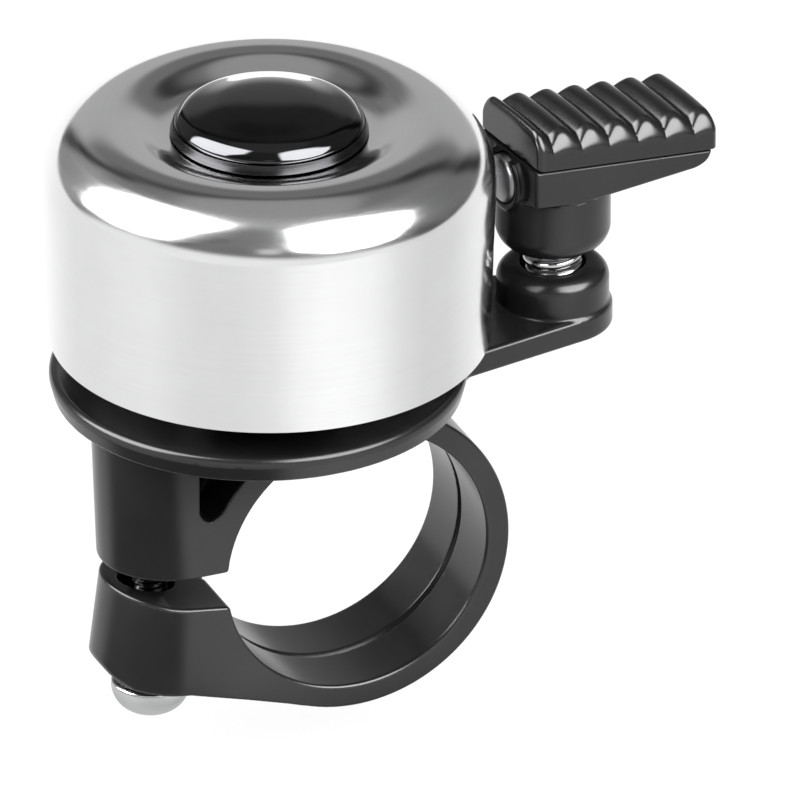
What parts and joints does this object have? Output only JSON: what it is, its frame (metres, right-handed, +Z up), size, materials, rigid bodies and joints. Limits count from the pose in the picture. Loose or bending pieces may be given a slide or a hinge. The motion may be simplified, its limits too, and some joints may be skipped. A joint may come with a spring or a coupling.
{
  "type": "bicycle bell",
  "caption": "Flick-lever bicycle bell: spun aluminium dome on a black moulded base with a screw-tightened handlebar clamp.",
  "frame": {"origin": "crown of the clamp's bar saddle, midway along the clamp's width", "axes": "+Z up along the dome's axis, +Y along the handlebar, +X from the dome towards the lever"},
  "size_m": [0.0549, 0.0358, 0.0529],
  "materials": {
    "black_abs": "satin",
    "pad_abs": "satin",
    "spun_aluminium": "spun and polished",
    "satin_steel": "satin",
    "mirror_cap": "black chrome mirror",
    "nylon": "natural",
    "fibre": "matt",
    "brass": "turned",
    "zinc_steel": "zinc plated",
    "chrome_wire": "bright",
    "hammer_steel": "zinc plated",
    "dark_steel": "blackened",
    "chrome_screw": "polished"
  },
  "bodies": {
    "base": {"base_bracket": "black_abs", "bell_dome": "spun_aluminium", "dome_seat_bush": "nylon", "dome_thread_insert": "brass", "fibre_washer": "fibre", "centre_washer": "zinc_steel", "centre_lock_washer": "zinc_steel", "centre_screw": "zinc_steel", "cap_collar": "satin_steel", "centre_cap": "mirror_cap", "clamp_thread_insert": "brass", "lever_spring": "chrome_wire", "spring_anchor_rivet": "zinc_steel"},
    "lever": {"lever_body": "black_abs", "thumb_pad": "pad_abs", "striker_hammer": "hammer_steel", "spring_lever_plug": "zinc_steel"},
    "strap": {"clamp_strap": "black_abs"},
    "washer": {"clamp_washer": "dark_steel"},
    "screw": {"clamp_screw": "chrome_screw"}
  },
  "joints": [
    {"name": "lever_flick", "type": "hinge", "parent": "base", "child": "lever", "pos_m": [0.0191, 0, 0.01005], "axis": [0, 1, 0], "range_deg": [-10, 22], "stiffness_Nm_per_rad": 0.12, "deforming": ["lever_spring"]},
    {"name": "clamp_screw_advance", "type": "slide", "parent": "base", "child": "washer", "axis": [0, 0, -1], "range_m": [0, 0.003]},
    {"name": "clamp_screw_turn", "type": "hinge", "parent": "washer", "child": "screw", "pos_m": [-0.0155, 0, -0.0212], "axis": [0, 0, -1], "range_deg": [0, 2160]},
    {"name": "strap_flex", "type": "hinge", "parent": "base", "child": "strap", "pos_m": [0.01207, 0, -0.0111], "axis": [0, -1, 0], "range_deg": [0, 5.4]}
  ],
  "couplings": [
    {"joint": "clamp_screw_turn", "follows": "clamp_screw_advance", "rad_per_m": 12566},
    {"joint": "strap_flex", "follows": "clamp_screw_advance", "rad_per_m": 31.416}
  ]
}
